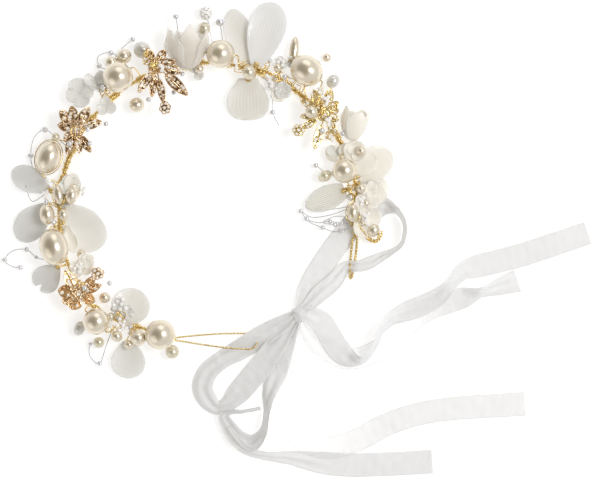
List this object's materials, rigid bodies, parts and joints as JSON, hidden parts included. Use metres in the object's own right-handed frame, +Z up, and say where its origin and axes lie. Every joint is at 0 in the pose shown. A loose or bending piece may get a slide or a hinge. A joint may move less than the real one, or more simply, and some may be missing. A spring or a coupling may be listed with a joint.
{
  "type": "flower crown",
  "caption": "Open wire wreath for the hair with pearls, frosted petals, gold leaf sprays and bead sprays, closed at the back by ribbons tied in a bow.",
  "frame": {"origin": "centre of the whole crown's plan, on the table that it lies on", "axes": "+X towards the long ribbon tails, +Y towards the top petals, +Z up off the table"},
  "size_m": [0.3082, 0.2476, 0.0201],
  "materials": {
    "gold_wire": "bright yellow-gold plated wire, twisted",
    "rose_gold": "rose-gold plated leaves set with small clear stones",
    "pearl": "cream pearl lustre",
    "frosted_petal": "frosted translucent white",
    "seed_bead": "silver-white glass-like seed beads on clear thread",
    "crystal": "clear faceted crystal",
    "ribbon": "semi-sheer white satin organza"
  },
  "bodies": {
    "right_arm_and_bow": {"band_wire_right": "gold_wire", "right_end_eye": "gold_wire", "large_pearl_1_stem": "gold_wire", "large_pearl_2_stem": "gold_wire", "large_pearl_3_stem": "gold_wire", "large_pearl_4_stem": "gold_wire", "top_petal_left": "frosted_petal", "top_petal_right": "frosted_petal", "top_petal_inner": "frosted_petal", "right_petal_upper": "frosted_petal", "right_petal_lower": "frosted_petal", "ribbed_petal": "frosted_petal", "cup_flower_large": "frosted_petal", "cup_flower_small": "frosted_petal", "hydrangea": "frosted_petal", "small_flower": "frosted_petal", "bead_spray_top_left": "seed_bead", "bead_spray_inner_top": "seed_bead", "bead_spray_inner_right": "seed_bead", "crystal_stem": "crystal", "stem_pearl_top": "pearl", "stem_pearl_inner": "pearl", "bow_knot": "ribbon", "right_bow_loop": "ribbon", "left_bow_loop": "ribbon", "centre_bow_loop": "ribbon", "ribbon_tail_upper": "ribbon", "ribbon_tail_middle": "ribbon", "ribbon_tail_left": "ribbon", "ribbon_tail_lower": "ribbon"},
    "left_arm": {"band_wire_left": "gold_wire", "left_end_eye": "gold_wire", "large_pearl_5_stem": "gold_wire", "large_pearl_6_stem": "gold_wire", "large_pearl_7_stem": "gold_wire", "large_pearl_8_stem": "gold_wire", "side_petal_upper": "frosted_petal", "side_petal_outer": "frosted_petal", "side_petal_inner": "frosted_petal", "notched_petal": "frosted_petal", "lower_petal_inner": "frosted_petal", "lower_petal_outer": "frosted_petal", "bead_spray_left": "seed_bead", "bead_spray_lower_left": "seed_bead", "bead_spray_bottom": "seed_bead", "stem_pearl_left": "pearl", "stem_pearl_bottom": "pearl"},
    "pearl_1": {"large_pearl_1": "pearl"},
    "pearl_2": {"large_pearl_2": "pearl"},
    "pearl_3": {"large_pearl_3": "pearl"},
    "pearl_4": {"large_pearl_4": "pearl"},
    "pearl_5": {"large_pearl_5": "pearl"},
    "pearl_6": {"large_pearl_6": "pearl"},
    "pearl_7": {"large_pearl_7": "pearl"},
    "pearl_8": {"large_pearl_8": "pearl"},
    "spray_1": {"leaf_spray_1": "rose_gold"},
    "spray_2": {"leaf_spray_2": "rose_gold"},
    "spray_3": {"leaf_spray_3": "rose_gold"},
    "spray_4": {"leaf_spray_4": "rose_gold"}
  },
  "joints": [
    {"name": "band_flex", "type": "hinge", "parent": "right_arm_and_bow", "child": "left_arm", "pos_m": [-0.10575, 0.06494, 0.0025], "axis": [0, 0, 1], "range_deg": [-4, 3], "deforming": ["left_bow_loop"]},
    {"name": "pearl_1_spin", "type": "hinge", "parent": "right_arm_and_bow", "child": "pearl_1", "pos_m": [0.02475, 0.03616, 0.0106], "axis": [-0.289, 0.9573, 0], "continuous": true},
    {"name": "pearl_2_spin", "type": "hinge", "parent": "right_arm_and_bow", "child": "pearl_2", "pos_m": [0.00521, 0.0882, 0.008], "axis": [-0.8201, 0.5721, 0], "continuous": true},
    {"name": "pearl_3_spin", "type": "hinge", "parent": "right_arm_and_bow", "child": "pearl_3", "pos_m": [-0.03929, 0.09642, 0.0116], "axis": [-0.9966, 0.0819, 0], "continuous": true},
    {"name": "pearl_4_spin", "type": "hinge", "parent": "right_arm_and_bow", "child": "pearl_4", "pos_m": [-0.09232, 0.08452, 0.0121], "axis": [-0.8329, -0.5534, 0], "continuous": true},
    {"name": "pearl_5_spin", "type": "hinge", "parent": "left_arm", "child": "pearl_5", "pos_m": [-0.12888, 0.04318, 0.0065], "axis": [-0.3239, -0.9461, 0], "continuous": true},
    {"name": "pearl_6_spin", "type": "hinge", "parent": "left_arm", "child": "pearl_6", "pos_m": [-0.12554, -0.00342, 0.0116], "axis": [0.2233, -0.9748, 0], "continuous": true},
    {"name": "pearl_7_spin", "type": "hinge", "parent": "left_arm", "child": "pearl_7", "pos_m": [-0.1037, -0.0419, 0.0111], "axis": [0.7009, -0.7132, 0], "continuous": true},
    {"name": "pearl_8_spin", "type": "hinge", "parent": "left_arm", "child": "pearl_8", "pos_m": [-0.07048, -0.04864, 0.0121], "axis": [0.933, -0.36, 0], "continuous": true},
    {"name": "leaf_spray_1_tilt", "type": "hinge", "parent": "right_arm_and_bow", "child": "spray_1", "pos_m": [-0.07257, 0.09068, 0.0038], "axis": [-0.9438, -0.3305, 0], "range_deg": [-10, 10]},
    {"name": "leaf_spray_2_tilt", "type": "hinge", "parent": "left_arm", "child": "spray_2", "pos_m": [-0.1142, 0.05775, 0.0038], "axis": [-0.5329, -0.8462, 0], "range_deg": [-10, 10]},
    {"name": "leaf_spray_3_tilt", "type": "hinge", "parent": "left_arm", "child": "spray_3", "pos_m": [-0.11312, -0.0278, 0.0038], "axis": [0.5358, -0.8443, 0], "range_deg": [-10, 10]},
    {"name": "leaf_spray_4_tilt", "type": "hinge", "parent": "right_arm_and_bow", "child": "spray_4", "pos_m": [0.01478, 0.06526, 0.0038], "axis": [-0.6388, 0.7694, 0], "range_deg": [-10, 10]}
  ]
}
